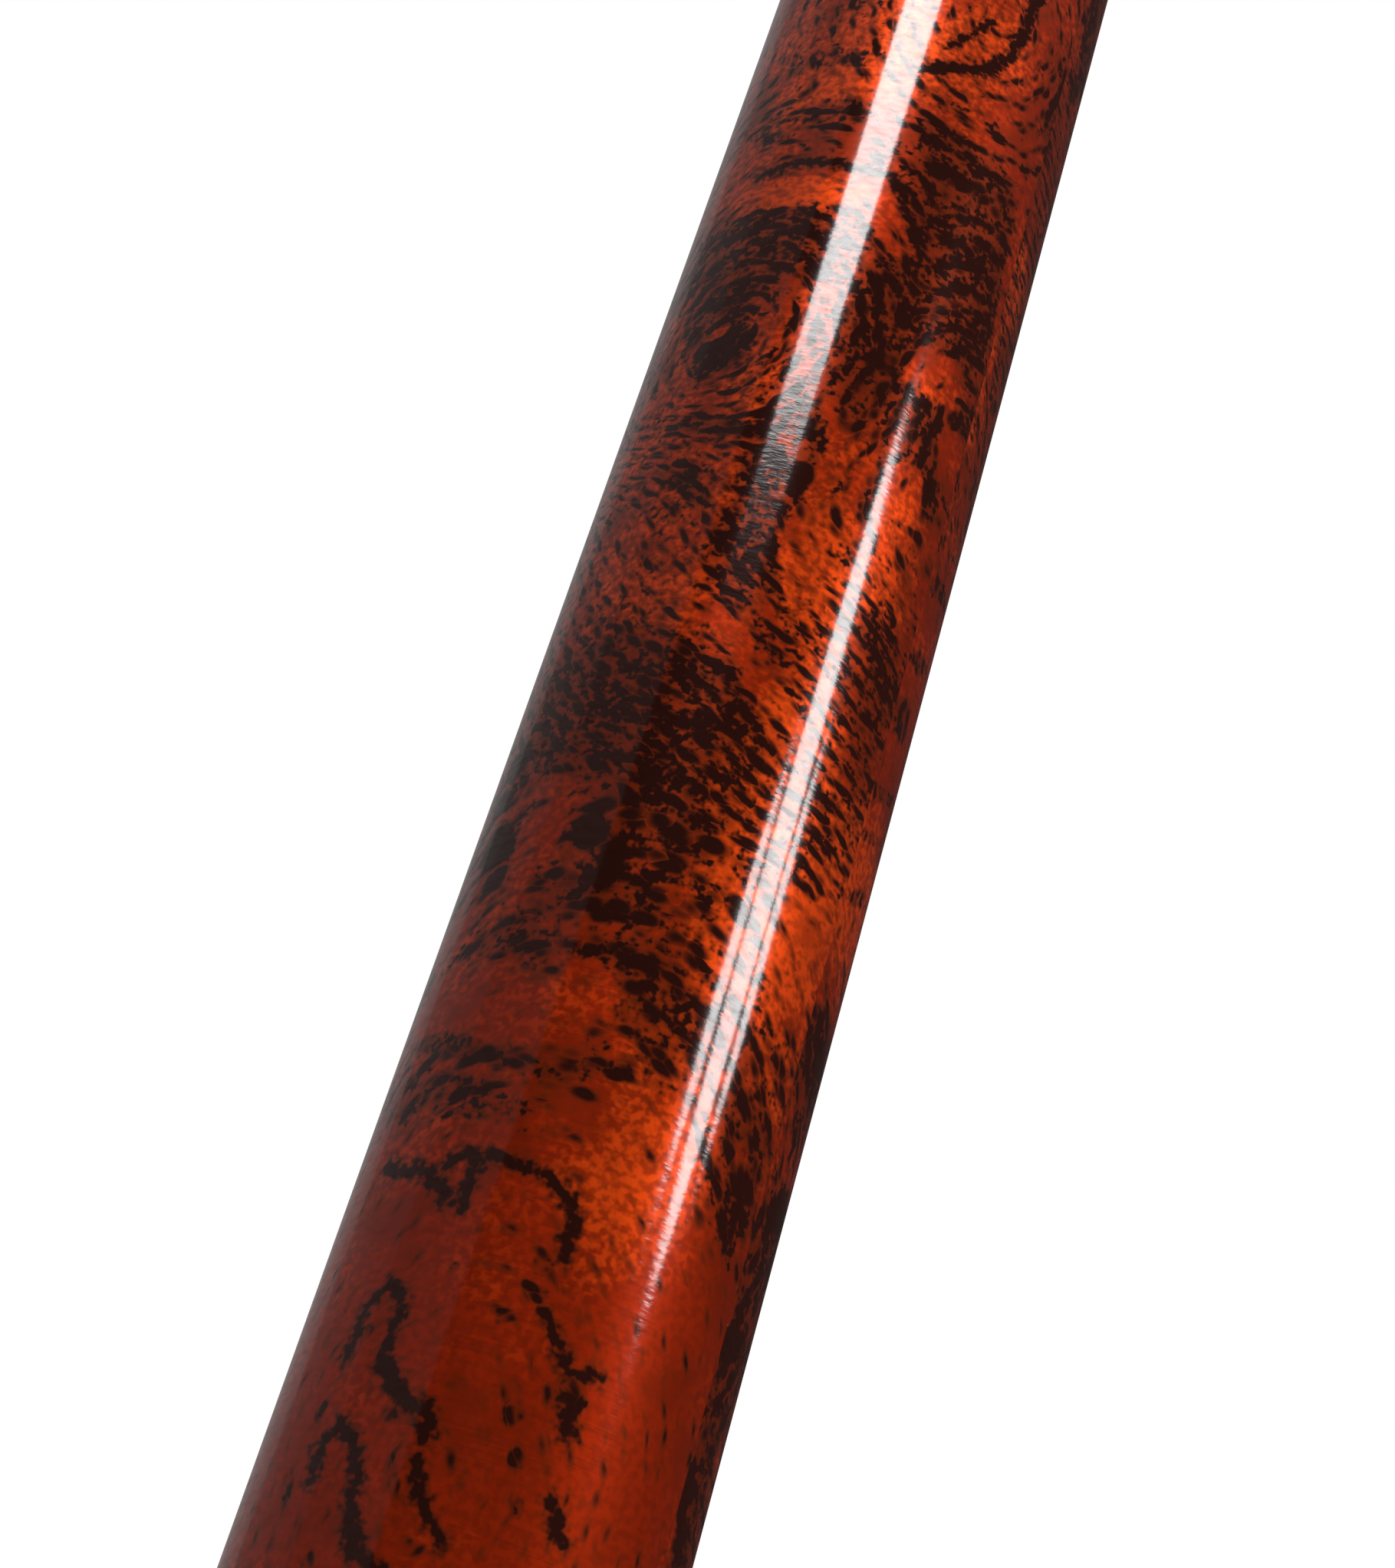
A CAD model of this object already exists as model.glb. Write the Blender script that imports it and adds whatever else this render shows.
# Height-adjustable aluminium walking stick: looks for every surface, floor, light and camera
import math

import bpy
from mathutils import Matrix, Vector


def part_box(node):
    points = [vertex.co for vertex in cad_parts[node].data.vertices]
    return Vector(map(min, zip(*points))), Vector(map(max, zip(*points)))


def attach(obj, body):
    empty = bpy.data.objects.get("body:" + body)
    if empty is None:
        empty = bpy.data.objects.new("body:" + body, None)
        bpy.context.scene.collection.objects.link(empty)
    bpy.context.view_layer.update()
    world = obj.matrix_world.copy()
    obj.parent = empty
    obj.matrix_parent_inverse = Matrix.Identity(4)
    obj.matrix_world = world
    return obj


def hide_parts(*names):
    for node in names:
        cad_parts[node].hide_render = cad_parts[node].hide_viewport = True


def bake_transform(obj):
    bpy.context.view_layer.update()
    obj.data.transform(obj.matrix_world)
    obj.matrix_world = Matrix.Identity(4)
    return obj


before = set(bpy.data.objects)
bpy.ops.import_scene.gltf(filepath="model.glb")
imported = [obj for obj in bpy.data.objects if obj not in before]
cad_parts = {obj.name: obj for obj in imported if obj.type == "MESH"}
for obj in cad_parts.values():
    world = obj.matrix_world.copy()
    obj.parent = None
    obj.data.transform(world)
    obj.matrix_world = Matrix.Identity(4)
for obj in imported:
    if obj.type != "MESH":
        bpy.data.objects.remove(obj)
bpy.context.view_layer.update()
mm = 0.001
smoothUnder = 34  # degrees between two faces, up to which their edge is shaded round
past = 2  # how far a cutter reaches past what it cuts, in mm
filletShare = 0.49  # the most that a fillet takes of a side
print("stage: frame loaded")


# Modelling helpers

def deselectAll():
    if bpy.context.object and bpy.context.object.mode != "OBJECT":
        bpy.ops.object.mode_set(mode="OBJECT")
    bpy.ops.object.select_all(action="DESELECT")


def takeUp(piece):
    deselectAll()
    piece.select_set(True)
    bpy.context.view_layer.objects.active = piece


def openMesh(piece, kind):
    takeUp(piece)
    bpy.ops.object.mode_set(mode="EDIT")
    bpy.ops.mesh.select_mode(type=kind)
    bpy.ops.mesh.select_all(action="SELECT")


def closeMesh():
    bpy.ops.mesh.select_all(action="SELECT")
    bpy.ops.mesh.normals_make_consistent(inside=False)
    bpy.ops.object.mode_set(mode="OBJECT")


# selects the faces or edges that pass the test, and leaves the piece in edit mode
def pick(piece, kind, test):
    openMesh(piece, kind)
    bpy.ops.mesh.select_all(action="DESELECT")
    bpy.ops.object.mode_set(mode="OBJECT")
    for item in piece.data.polygons if kind == "FACE" else piece.data.edges:
        item.select = bool(test(item))
    bpy.ops.object.mode_set(mode="EDIT")


def edgeHeights(piece, edge):
    return [piece.data.vertices[index].co.z for index in edge.vertices]


def pickOpenEdges():
    bpy.ops.mesh.select_all(action="DESELECT")
    bpy.ops.mesh.select_non_manifold(extend=False)


# draws what is selected out along X and Z, in mm
def extrudeBy(x, z):
    bpy.ops.mesh.extrude_region_move(TRANSFORM_OT_translate={"value": (x * mm, 0, z * mm)})


def resizeBy(grow, about):
    bpy.ops.transform.resize(value=grow, center_override=about)


def applyPlace():
    bpy.ops.object.transform_apply(location=True, rotation=True, scale=True)


# a closed outline of (radius, height, fillet) in mm, with each fillet drawn as a curve
def soften(corners, steps=4):
    outline = []
    for index, (radius, height, fillet) in enumerate(corners):
        here = Vector((radius, height))
        if not fillet:
            outline.append(here)
            continue
        before = Vector(corners[index - 1][:2]) - here
        after = Vector(corners[(index + 1) % len(corners)][:2]) - here
        start = here + before.normalized() * min(fillet, before.length * filletShare)
        end = here + after.normalized() * min(fillet, after.length * filletShare)
        for step in range(steps + 1):
            t = step / steps
            outline.append(start * (1 - t) ** 2 + here * 2 * t * (1 - t) + end * t ** 2)
    return outline


# turns an outline about Z by drawing a ring along it; the open ends are joined or capped
def turnPiece(name, outline, sides, joined=True):
    deselectAll()
    radius, height = outline[0]
    bpy.ops.mesh.primitive_circle_add(vertices=sides, radius=radius * mm, location=(0, 0, height * mm))
    piece = bpy.context.object
    piece.name = name
    applyPlace()
    openMesh(piece, "EDGE")
    for nextRadius, nextHeight in outline[1:]:
        extrudeBy(0, nextHeight - height)
        if nextRadius < mm:  # the axis is reached
            bpy.ops.mesh.merge(type="CENTER")
            break
        grow = nextRadius / radius
        resizeBy((grow, grow, 1), (0, 0, nextHeight * mm))
        radius, height = nextRadius, nextHeight
    pickOpenEdges()
    if joined:
        bpy.ops.mesh.bridge_edge_loops()
    else:
        bpy.ops.mesh.fill_holes(sides=0)
    closeMesh()
    return piece


# a cutter or filler rod between two points in mm
def addRod(radius, start, end, sides):
    start, end = Vector(start) * mm, Vector(end) * mm
    lie = (end - start).to_track_quat("Z", "Y").to_euler()
    deselectAll()
    bpy.ops.mesh.primitive_cylinder_add(
        vertices=sides, radius=radius * mm, depth=(end - start).length, location=(start + end) / 2,
        rotation=lie)
    return bpy.context.object


def addBlock(size, middle, turnAboutZ=0.0):
    deselectAll()
    bpy.ops.mesh.primitive_cube_add(
        size=1, location=Vector(middle) * mm, rotation=(0, 0, turnAboutZ), scale=Vector(size) * mm)
    return bpy.context.object


def applyModifier(piece, kind, **settings):
    modifier = piece.modifiers.new(kind.lower(), kind)
    for name, value in settings.items():
        setattr(modifier, name, value)
    takeUp(piece)
    bpy.ops.object.modifier_apply(modifier=modifier.name)


def cutAway(piece, cutter, operation="DIFFERENCE"):
    applyModifier(piece, "BOOLEAN", operation=operation, solver="EXACT", object=cutter)
    bpy.data.objects.remove(cutter)


# turns and moves a piece made about Z to where it belongs, and keeps its object at the origin
def layPiece(piece, rotation, location):
    takeUp(piece)
    piece.rotation_euler = rotation
    piece.location = Vector(location) * mm
    applyPlace()


# gives a piece its finish, and says what it rides on and what CAD node it stands for
def finishPiece(piece, body, slot, node):
    takeUp(piece)
    applyPlace()
    bpy.ops.object.shade_smooth_by_angle(angle=math.radians(smoothUnder))
    piece.data.materials.clear()
    piece.data.materials.append(finishes[slot])
    if body:
        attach(piece, body)
    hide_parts(node)


# Node helpers
inHand = {"tree": None}  # the material or group that nodes are added to
finishes = {}  # the materials by name


# links a value to a socket of the tree in hand, or sets it there
def feed(socket, value):
    if isinstance(value, bpy.types.NodeSocket):
        inHand["tree"].links.new(value, socket)
    else:
        socket.default_value = value


# adds a node, feeds its inputs by name or index, and gives one of its outputs
def put(kind, inputs, out=0, **settings):
    node = inHand["tree"].nodes.new("ShaderNode" + kind)
    for name, value in settings.items():
        setattr(node, name, value)
    for key, value in inputs.items():
        feed(node.inputs[key], value)
    return node.outputs[out]


def maths(operation):
    return lambda a, b=0.0, c=0.0: put("Math", {0: a, 1: b, 2: c}, operation=operation)


def vectorMaths(operation):
    return lambda a, b: put("VectorMath", {0: a, 1: b}, operation=operation)


plus, minus, times, over = maths("ADD"), maths("SUBTRACT"), maths("MULTIPLY"), maths("DIVIDE")
timesPlus, most, least, root = maths("MULTIPLY_ADD"), maths("MAXIMUM"), maths("MINIMUM"), maths("SQRT")
stretched, centred, moved = vectorMaths("MULTIPLY"), vectorMaths("SUBTRACT"), vectorMaths("ADD")


def point(x, y, z=0.0):
    return put("CombineXYZ", {0: x, 1: y, 2: z})


def noiseAt(vector, scale, detail, roughness=0.5, out=0):
    return put("TexNoise", {
        "Vector": vector, "Scale": scale, "Detail": detail, "Roughness": roughness}, out)


def blendOf(share, a, b):
    return put("Mix", {0: share, 6: a, 7: b}, out=2, data_type="RGBA")


def ramp(value, low, high, toLow=0.0, toHigh=1.0, kind="LINEAR"):
    return put("MapRange", {"Value": value, "From Min": low, "From Max": high, "To Min": toLow,
                            "To Max": toHigh}, interpolation_type=kind)


def softRamp(value, *ends):
    return ramp(value, *ends, kind="SMOOTHSTEP")


# x times a and y times b, added
def bothOf(x, y, a, b):
    return timesPlus(x, a, times(y, b))


# inputs: each name with its first value, a number or a vector; every output is a number
def startGroup(name, inputs, outputs):
    group = bpy.data.node_groups.new(name, "ShaderNodeTree")
    for socketName, value in inputs.items():
        kind = "Float" if isinstance(value, float) else "Vector"
        socket = group.interface.new_socket(socketName, in_out="INPUT", socket_type="NodeSocket" + kind)
        socket.default_value = value
    for socketName in outputs:
        group.interface.new_socket(socketName, in_out="OUTPUT", socket_type="NodeSocketFloat")
    inHand["tree"] = group
    return group, group.nodes.new("NodeGroupInput").outputs, group.nodes.new("NodeGroupOutput").inputs


def placeGroup(group, inputs):
    return put("Group", inputs, node_tree=group).node.outputs


# settings are the shader's inputs in camelCase
def startMaterial(name, **settings):
    material = finishes[name] = bpy.data.materials.new(name)
    material.use_nodes = True
    inHand["tree"] = material.node_tree
    shader = material.node_tree.nodes["Principled BSDF"].inputs
    for key, value in settings.items():
        words = "".join(" " + letter if letter.isupper() else letter for letter in key).title()
        shader[words.replace("Ior", "IOR")].default_value = value
    return shader


def objectPlace():
    return put("TexCoord", {}, "Object")


def bumps(height, depth):
    return put("Bump", {"Distance": depth * mm, "Height": height})


# what every finish has: a colour, a roughness, and a relief of some depth in mm
def dress(shader, colour, rough, height, depth):
    feed(shader["Base Color"], colour)
    feed(shader["Roughness"], rough)
    feed(shader["Normal"], bumps(height, depth))


# Shared effects

# worn and dirty patches: slow noise cut between two levels
def makePatchGroup():
    group, start, end = startGroup(
        "Worn Patches", {"Vector": (0, 0, 0), "Size mm": 10.0, "From": 0.45, "To": 0.7}, ["Mask"])
    noise = noiseAt(start["Vector"], over(1000.0, start["Size mm"]), 4.0, 0.6)
    feed(end["Mask"], ramp(noise, start["From"], start["To"]))
    return group


# thin scratches that run mostly one way: noise drawn out that way and kept where it crosses its middle
def makeScratchGroup():
    group, start, end = startGroup(
        "Fine Scratches", {"Vector": (0, 0, 0), "Stretch": (1, 1, 1), "Width": 0.01, "Share": 0.5},
        ["Mask"])
    line = noiseAt(stretched(start["Vector"], start["Stretch"]), 1000.0, 1.0)
    near = maths("ABSOLUTE")(minus(line, 0.5))
    where = noiseAt(start["Vector"], 90.0, 2.0)
    kept = ramp(where, start["Share"], plus(start["Share"], 0.12))
    feed(end["Mask"], times(ramp(near, start["Width"], 0.0), kept))
    return group


# edges rubbed bright or pale: pointed stretches of the mesh, broken up by noise
def makeEdgeGroup():
    group, start, end = startGroup(
        "Edge Wear", {"Vector": (0, 0, 0), "From": 0.52, "To": 0.6, "Break Up": 0.08}, ["Mask"])
    noise = noiseAt(start["Vector"], 700.0, 3.0)
    shift = times(minus(noise, 0.5), start["Break Up"])
    pointed = put("NewGeometry", {}, "Pointiness")
    feed(end["Mask"], ramp(plus(pointed, shift), start["From"], start["To"]))
    return group


patchGroup, scratchGroup, edgeGroup = makePatchGroup(), makeScratchGroup(), makeEdgeGroup()


def maskOf(group, *values):
    return placeGroup(group, dict(enumerate(values)))["Mask"]


# Burl print on the upper tube
# sizes in mm: arc runs round the tube from the middle of the front, height is counted from 0.56 m up
burlPrint = {
    "tubeRadius": 11.0,
    "heightZero": 560.0,
    "seamAngle": 56.0,  # degrees round to the right, where the film's two edges meet
    "cell": (34.56, 126.0),  # the film's figure repeats, half way round the tube and up it
    "cellBase": 22.0,
    "cellRise": 41.0,  # each copy to the side stands higher by this much
    "warp": (9.0, 1.1),  # size and strength of the slow wander
    "ragged": (1.3, 0.34),  # size and strength of the quick wander
    "dash": (0.60, 1.35),  # one dash to each space this wide and this long
    "rowPitch": 1.25,  # the dashes lie in rows this far apart
    "rowStrength": 0.24,
    "dotPitch": 0.78,
    # randomness, spread of the sizes, smallest size, growth where it is darker
    "dashMarks": (0.95, 0.38, 0.15, 0.26),
    "dotMarks": (0.9, 0.44, -0.25, 0.22),
    "stipple": 0.48,  # sizes of the finest and of the slow noise
    "cloud": 6.0,
    "hardness": (8.0, 1.8, 2.0),  # of the torn shapes, of the marks and of the strokes
    "patchLimits": (-1.5, 1.0),  # the least and most darkness before the blots
    "patchEdge": (1.5, 0.35),  # where a patch starts and where it is full, in squared half widths
    "filmDepth": 0.07,  # the film ends this far under the skin
    "filmBlur": 0.02,
    "nearBlack": (0.026, 0.0045, 0.0025, 1),
    "brown": (0.15, 0.021, 0.003, 1),
    "deepRed": (0.165, 0.0135, 0.0015, 1),
    "deepOrange": (0.40, 0.023, 0.0015, 1),
    "brightOrange": (0.90, 0.078, 0.005, 1),
    "bareAluminium": (0.74, 0.74, 0.73, 1),
    # general darkness from the cell's base up: share of the cell's height, darkness
    "darkness": [
        (0, -1.35), (0.17, -1.3), (0.21, -0.4), (0.26, 0.05), (0.31, 0.27), (0.45, 0.32), (0.52, 0.2),
        (0.6, 0.25), (0.68, 0.42), (0.715, 0.25), (0.74, 0.1), (0.8, -0.05), (0.86, -0.4), (1, -0.8),
    ],
    # rings that the streaks follow, above and below the eye: arc, height, stretch in height, offset
    "ringsAbove": [(-7.0, 101.0, 1.15, 0.0), (10.8, 98.0, 1.3, 1.5), (4.0, 132.0, 1.3, 5.0)],
    "ringsBelow": [(12.5, 100.0, 0.95, -8.0), (-3.0, 30.0, 1.6, 6.0)],
    "ringsMeet": (86.0, 98.0),
    # bright stretches of the ground: arc, height, half width, half height, brightness, degrees turned
    "glows": [
        (4.8, 68, 4.2, 10, 1.3), (9.4, 67.5, 3.4, 7, 1.1, -20), (3, 49.5, 3.6, 9, 0.58),
        (3, 84.5, 2.4, 6.5, 0.7, 10), (7.2, 88, 2.6, 6, 0.6), (6.8, 102, 3.4, 2.2, 0.2, 20),
        (3.4, 128, 3, 6, 0.5, -15), (-5, 112.6, 5, 1.4, 0.5), (12.2, 26, 4.2, 6.5, 0.7),
        (12.2, 152, 4.2, 6.5, 0.7), (-7, 100, 7, 24, 0.42), (-5.5, 127, 7, 8, 0.55),
        (0, 34, 16, 10, -0.25), (5.5, 32, 4.5, 12, -0.6), (9.2, 58, 2.6, 4.5, 0.7),
    ],
    # patches: arc, height, half width, half height, darkness, degrees turned
    "patches": [
        (-6.9, 124.4, 2.6, 0.9, 0.8), (-3.8, 124.2, 1.8, 0.8, 0.48), (-4.8, 119.6, 1.9, 1.9, 0.8),
        (-8.4, 118.2, 1.8, 0.7, 0.64, -25), (2.6, 123.2, 1.2, 1, 0.96, 20), (6.2, 122.7, 0.9, 0.8, 1.04),
        (9.1, 122.4, 0.9, 1.1, 0.88), (-6.1, 129.7, 1.8, 0.7, 0.72), (9.6, 131, 1.5, 5, 0.64),
        (13.4, 131, 2, 3.5, 0.96), (13.4, 112, 1.6, 10, 0.56), (-9.2, 120.8, 1.3, 1, 0.56),
        (5.2, 117.2, 4.6, 4.2, 0.8, -20), (7.2, 113.6, 3, 4, 0.72), (4.2, 112, 1.4, 2.6, 0.56, 25),
        (8.2, 108.8, 2.6, 3.4, 0.56, 30), (-7.5, 108.6, 5.6, 3.6, 0.6), (2.2, 119.6, 2.4, 1.4, 0.64, -20),
        (-8.8, 103.6, 2.4, 3.6, 0.65, 15), (-6.6, 106.4, 2.6, 1.6, 0.4), (-2.7, 106.5, 0.9, 0.9, 1.12),
        (2.4, 102.6, 2.9, 6.4, 0.7), (-6.2, 94.1, 3, 1.1, 0.68, -8), (-7.1, 90, 1.5, 1.2, 0.88, -30),
        (-5.5, 88.4, 0.9, 0.8, 1.04, -30), (-1.6, 91.2, 2.1, 6.4, 0.8), (-1.9, 84.6, 1.6, 4, 0.6, 15),
        (0.2, 92.6, 0.8, 3.2, 0.72), (0.2, 84.8, 0.8, 2.6, 0.72, 25), (7.4, 97.2, 1.2, 3, 1.12, 22),
        (6.4, 99.8, 1.3, 1.4, 0.72), (9.9, 101.2, 1.7, 1, 1.04, 30), (7.7, 91.1, 1.7, 0.4, 1.04, 12),
        (12.9, 95, 1.5, 7, 0.72), (9.8, 81.4, 2, 0.9, 0.56, 20), (-6.2, 74.2, 6.4, 5.6, 0.5, -10),
        (-2.2, 75.6, 2.1, 1.8, 0.64, -35), (0.3, 70.4, 4.4, 5.6, 0.44, -10), (-1.4, 66, 3.4, 3.8, 0.32),
        (-2.3, 61.8, 2.5, 1.3, 1.12, -15), (7, 72.1, 1.7, 0.9, 0.7, 8), (7, 69.3, 1.4, 2.2, 0.5, 20),
        (8.1, 79.2, 3.4, 1.8, 0.4, 10), (-7.2, 58.4, 2.8, 2, 0.36), (1, 57, 4.2, 2.2, 0.76, -28),
        (2.4, 54.2, 2.4, 1.6, 0.48, -10), (8.4, 54.6, 2.8, 3.4, 0.35), (-8.2, 49.6, 4.4, 1.7, 0.68, -4),
        (-1.6, 52.2, 2.6, 0.8, 0.8, 14), (9.3, 48, 1.4, 2.6, 1.04), (7.8, 46, 1.8, 2, 0.72),
        (-4.6, 113.2, 4.6, 1.5, -1.2), (1, 111.2, 1.1, 2.8, -1.1, 25), (5.4, 122.6, 4, 3, -0.5, -10),
        (2.6, 129, 3.4, 4.6, -0.4), (11, 116, 1.5, 10, -1.2), (-11, 115.6, 2.6, 2.6, -0.9, -30),
        (-4, 121.8, 4.6, 1, -0.6), (6.6, 102.4, 3, 1.9, -1.5, 25), (9.6, 98.2, 1.8, 2.2, -1.6),
        (-3.8, 104.2, 1.6, 2.6, -0.5), (2.3, 89, 2.2, 6.6, -0.45, 5), (1.9, 85.8, 1.3, 3.2, -0.5, 10),
        (8.3, 88.6, 2.8, 5.6, -0.5, 8), (6.5, 93.2, 1.6, 2, -1, -20), (-12, 86, 4.2, 9, -0.25),
        (-7, 83.6, 4.2, 4.6, -0.3), (-8.9, 96.4, 3, 1.4, -0.5, -20), (-2.2, 79.6, 2.8, 2, -0.7, -30),
        (2.4, 75.4, 3.8, 1, -0.8, -38), (-8.4, 65.3, 1.7, 3.8, -1.1), (8.6, 63.6, 2.8, 4.6, -1.3),
        (-8.6, 55.2, 6, 2.2, -1.3, -4), (-12.5, 60, 3, 1.8, -0.7), (-2.4, 56.4, 1.9, 1.8, -1.1),
        (1.6, 49.6, 3.2, 2.6, -1), (3.6, 46, 2.6, 6, -0.9), (-6.2, 47.2, 5, 1.1, -1, -4),
        (12.4, 46.5, 2.2, 0.8, 1.9, 18), (12.8, 41, 2.4, 0.7, 1.9, 20), (12.2, 37, 1.6, 1.4, 2.1),
        (12.6, 32.5, 2.6, 0.6, 1.8, 22), (12.4, 29, 2.4, 0.5, 1.7, 24), (13, 25.5, 2.2, 0.5, 1.7, 24),
        (13, 140, 3.2, 4.6, 1.1), (12.8, 127, 3, 8, 1), (6, 110, 4.5, 9, 0.35), (12.2, 106, 1.6, 12, 0.5),
        (12.1, 118, 1.4, 9, 1.5),
    ],
    # the same for nearly solid ones
    "blots": [
        (-7.1, 99.9, 1.9, 1.9, 1.1), (-7.9, 101.4, 0.8, 0.45, -1.8, 10), (8.8, 93.8, 1, 1.6, 0.9, 35),
        (7.8, 83.4, 1.9, 2, 0.9, -25), (-12.4, 70.9, 1.1, 1.1, 1.3), (-12.9, 68.5, 1.2, 0.9, 1.2),
        (-11.7, 65.4, 1.7, 1.7, 1.6), (-10.7, 62.8, 1, 1, 1.4), (-4.9, 65.4, 1.1, 1.5, 1.4),
        (-3.1, 64, 0.6, 1.9, 0.9), (7.4, 66.9, 1.5, 0.9, 1.12, 10), (-8.6, 52.6, 5.2, 0.85, 0.95, -9),
        (8.2, 50.4, 2.7, 4, 0.6), (2.45, 35.9, 1, 1.2, 1.65), (0.5, 34.2, 0.5, 0.75, 1.8),
        (-0.2, 41.7, 0.6, 0.9, 1.65, 20), (-0.4, 40.2, 0.75, 0.55, 1.65, 20),
        (-4.9, 33.3, 1.2, 0.5, 1.65), (-10, 29.5, 0.6, 0.95, 1.65), (-2.7, 28.1, 0.8, 0.5, 1.65, -20),
        (-4.2, 30.4, 0.4, 1.1, 1.65, 25), (-8.4, 37.3, 0.6, 0.6, 1.5), (13.2, 141.5, 2.8, 3, 0.75, 14),
        (13.6, 132.8, 2.4, 1.2, 1.2, 20), (11.6, 124.6, 1.1, 1.1, 1.5), (11.4, 117, 0.5, 1.8, 1.4),
        (1.2, 32.4, 0.45, 0.5, 1.6), (-1.6, 38.6, 0.5, 0.35, 1.5), (-4.6, 40.6, 0.4, 0.4, 1.5),
        (-0.8, 31, 0.4, 0.4, 1.5), (1.8, 30.4, 0.4, 0.6, 1.6), (-7, 26.6, 0.5, 0.5, 1.6),
        (-9.4, 33.4, 0.5, 0.6, 1.5), (4.8, 41, 0.4, 0.5, 1.4),
    ],
    # drawn strokes: half width, then points of arc and height
    "strokes": [
        (0.4, [(-10.9, 46.3), (-10, 45.8), (-7.7, 45.3), (-6.9, 44.6), (-6.1, 43.9)]),
        (0.33, [(-6.6, 45.6), (-5.8, 46.5), (-2.5, 46.3)]), (0.33, [(-5.1, 45.9), (-5.2, 43.8)]),
        (0.31, [(-1.7, 46.2), (-0.3, 45.3), (0.5, 44.2), (0.7, 42.4)]),
        (0.27, [(0.1, 39.4), (0.9, 38.3), (2.1, 36.9), (3.5, 37.3)]), (0.31, [(2.6, 35.6), (3, 34.2)]),
        (0.31, [(-8.9, 36.2), (-9, 38.5), (-8.05, 39.7), (-7.3, 39.2), (-6.5, 37.6), (-6.4, 35.8)]),
        (0.37, [(-6.4, 35.8), (-5, 34.2), (-3.5, 33.6), (-3, 32.4)]),
        (0.31, [(-3.2, 31.5), (-2.9, 30.2), (-1.1, 28.4)]),
        (0.33, [(-8.5, 29.8), (-8.7, 31.6), (-7.9, 32.7), (-6.9, 32.2), (-6.2, 30.4), (-5.8, 28.7)]),
        (0.37, [(-5.8, 28.7), (-5, 27.5), (-3.2, 26.4)]), (0.31, [(3.2, 31.1), (4.1, 29.8)]),
        (0.4, [(-0.2, 124.2), (4, 126.7), (5.4, 129), (6.2, 134.6), (6.3, 139)]),
        (0.26, [(1.2, 127.3), (2.3, 128.9), (3.4, 130.8)]),
        (0.3, [(-9, 114.7), (-5.5, 115.2), (0.2, 115), (2, 112.2), (2.9, 109.6)]),
    ],
}


# a soft-edged oval patch: adds its darkness to the sum
def makeBurlPatch():
    names = ("X", "Y", "Middle X", "Middle Y", "Across X", "Across Y", "Along X", "Along Y", "Darkness",
             "Sum")
    group, start, end = startGroup("Burl Patch", dict.fromkeys(names, 0.0), ["Sum"])
    x, y = minus(start["X"], start["Middle X"]), minus(start["Y"], start["Middle Y"])
    across = bothOf(x, y, start["Across X"], start["Across Y"])
    along = bothOf(x, y, start["Along X"], start["Along Y"])
    reach = bothOf(across, along, across, along)
    outer, inner = burlPrint["patchEdge"]
    dark = put("MapRange", {"Value": reach, "From Min": outer, "From Max": inner,
                            "To Max": start["Darkness"]}, interpolation_type="SMOOTHSTEP", clamp=False)
    feed(end["Sum"], plus(dark, start["Sum"]))
    return group


# a straight run of a drawn stroke: how far inside its edge a point is, kept where it is the most
def makeBurlStroke():
    names = ("X", "Y", "From X", "From Y", "Run X", "Run Y", "Run Squared", "Half Width", "Ink")
    group, start, end = startGroup("Burl Stroke", dict.fromkeys(names, 0.0), ["Ink"])
    x, y = minus(start["X"], start["From X"]), minus(start["Y"], start["From Y"])
    along = bothOf(x, y, start["Run X"], start["Run Y"])
    share = least(most(over(along, start["Run Squared"]), 0), 1)
    x, y = minus(x, times(share, start["Run X"])), minus(y, times(share, start["Run Y"]))
    ink = minus(start["Half Width"], root(bothOf(x, y, x, y)))
    feed(end["Ink"], most(ink, start["Ink"]))
    return group


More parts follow.
